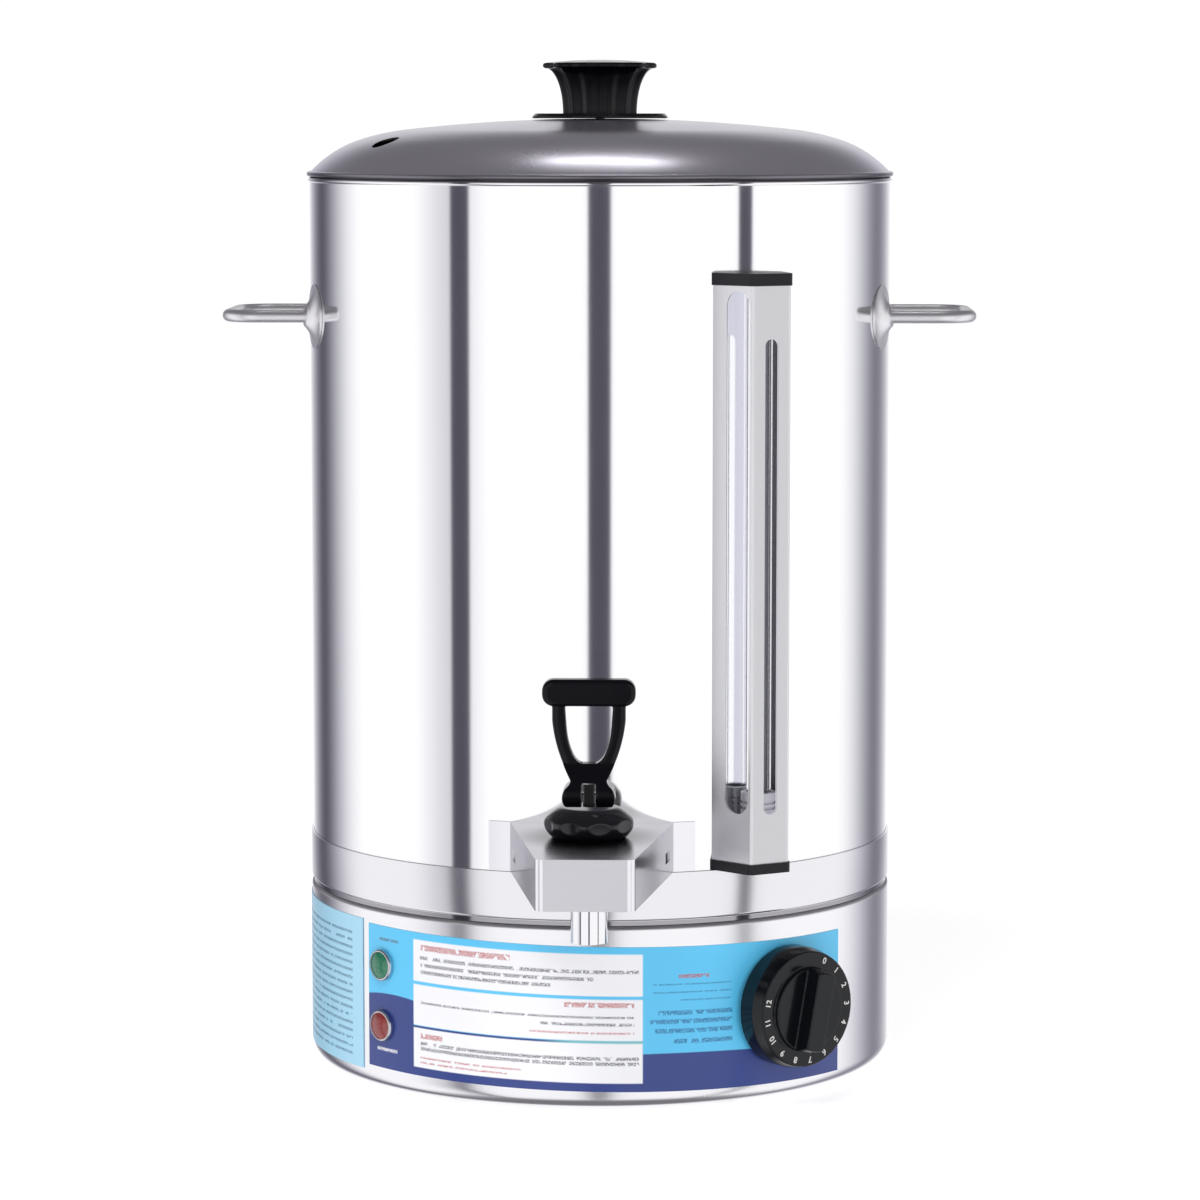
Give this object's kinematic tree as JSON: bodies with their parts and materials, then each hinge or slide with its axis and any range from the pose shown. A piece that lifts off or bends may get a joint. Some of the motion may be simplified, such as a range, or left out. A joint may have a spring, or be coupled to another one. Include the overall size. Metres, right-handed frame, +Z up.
{
  "type": "hot water urn",
  "caption": "Steel catering urn with a lift-off domed lid, loop handles, a sight gauge, a sprung lever tap and a heated base with a thermostat dial.",
  "frame": {"origin": "centre of the foot ring's resting face, on the tank's axis", "axes": "+Z up along the tank's axis, -Y towards the tap, +X to the right of someone facing the tap"},
  "size_m": [0.3872, 0.4095, 0.5203],
  "materials": {
    "tank_steel": "mirror polished",
    "lid_steel": "soft polished",
    "skirt_steel": "mirror polished",
    "guard_steel": "satin",
    "handle_steel": "polished",
    "base_steel": "plain",
    "plated_brass": "bright plated",
    "brass": "turned",
    "screw_steel": "plated",
    "spring_steel": "drawn wire",
    "element_steel": "heat dulled",
    "black_plastic": "gloss",
    "cap_plastic": "semi-gloss",
    "dial_plastic": "semi-gloss",
    "silicone": "translucent white",
    "foot_rubber": "matte",
    "gauge_glass": "clear",
    "green_lens": "clear coloured",
    "red_lens": "clear coloured",
    "lamp_chrome": "bright",
    "control_print": "printed film",
    "side_print": "printed film",
    "ceramic": "glazed",
    "control_plastic": "moulded",
    "wire_cover": "silicone insulation"
  },
  "bodies": {
    "urn": {"foot_ring": "foot_rubber", "base_skirt": "skirt_steel", "base_cover_plate": "base_steel", "base_cover_screws": "screw_steel", "base_cover_nuts": "screw_steel", "joint_band": "skirt_steel", "tank_barrel": "tank_steel", "tank_floor": "base_steel", "heating_element": "element_steel", "element_nuts": "brass", "element_seals": "silicone", "boil_dry_cutout": "control_plastic", "thermostat_bulb": "spring_steel", "bulb_clip": "base_steel", "terminal_block": "ceramic", "earth_stud": "screw_steel", "left_handle": "handle_steel", "right_handle": "handle_steel", "left_handle_flanges": "handle_steel", "right_handle_flanges": "handle_steel", "gauge_cover": "guard_steel", "gauge_bottom_cap": "cap_plastic", "gauge_top_cap": "cap_plastic", "gauge_tube": "gauge_glass", "gauge_fitting": "plated_brass", "gauge_gland_nut": "plated_brass", "gauge_washer": "silicone", "gauge_inside_nut": "brass", "tap_body": "plated_brass", "tap_spout": "plated_brass", "tap_shank_nut": "brass", "tap_washers": "silicone", "tap_guard": "guard_steel", "tap_bonnet": "black_plastic", "tap_spring": "spring_steel", "thermostat_body": "control_plastic", "thermostat_screws": "screw_steel", "green_lamp_holder": "lamp_chrome", "green_lamp_lens": "green_lens", "red_lamp_holder": "lamp_chrome", "red_lamp_lens": "red_lens", "lamp_nuts": "control_plastic", "control_label": "control_print", "side_label": "side_print", "power_inlet": "control_plastic", "inlet_pins": "brass", "inlet_screws": "screw_steel", "internal_wires": "wire_cover"},
    "lid": {"lid_dome": "lid_steel", "lid_locating_ring": "lid_steel", "lid_knob": "black_plastic", "lid_knob_disc": "black_plastic", "lid_knob_screw": "screw_steel"},
    "tap_stem": {"tap_stem": "black_plastic", "tap_seat_cup": "silicone", "tap_pivot_pin": "screw_steel"},
    "tap_lever": {"tap_lever": "black_plastic"},
    "dial": {"thermostat_knob": "dial_plastic", "thermostat_shaft": "screw_steel"}
  },
  "joints": [
    {"name": "lid_lift", "type": "slide", "parent": "urn", "child": "lid", "axis": [0, 0, 1], "range_m": [0, 0.12]},
    {"name": "tap_stem_lift", "type": "slide", "parent": "urn", "child": "tap_stem", "axis": [0, 0, 1], "range_m": [0, 0.00265], "stiffness_N_per_m": 1500, "springref_m": -0.003, "deforming": ["tap_spring"]},
    {"name": "tap_lever_pull", "type": "hinge", "parent": "tap_stem", "child": "tap_lever", "pos_m": [0, -0.189, 0.168], "axis": [1, 0, 0], "range_deg": [0, 33]},
    {"name": "dial_turn", "type": "hinge", "parent": "urn", "child": "dial", "pos_m": [0.09673, -0.11776, 0.05], "axis": [-0.6347, 0.7727, 0], "range_deg": [0, 257.5]}
  ],
  "couplings": [
    {"joint": "tap_lever_pull", "follows": "tap_stem_lift", "rad_per_m": 211}
  ]
}
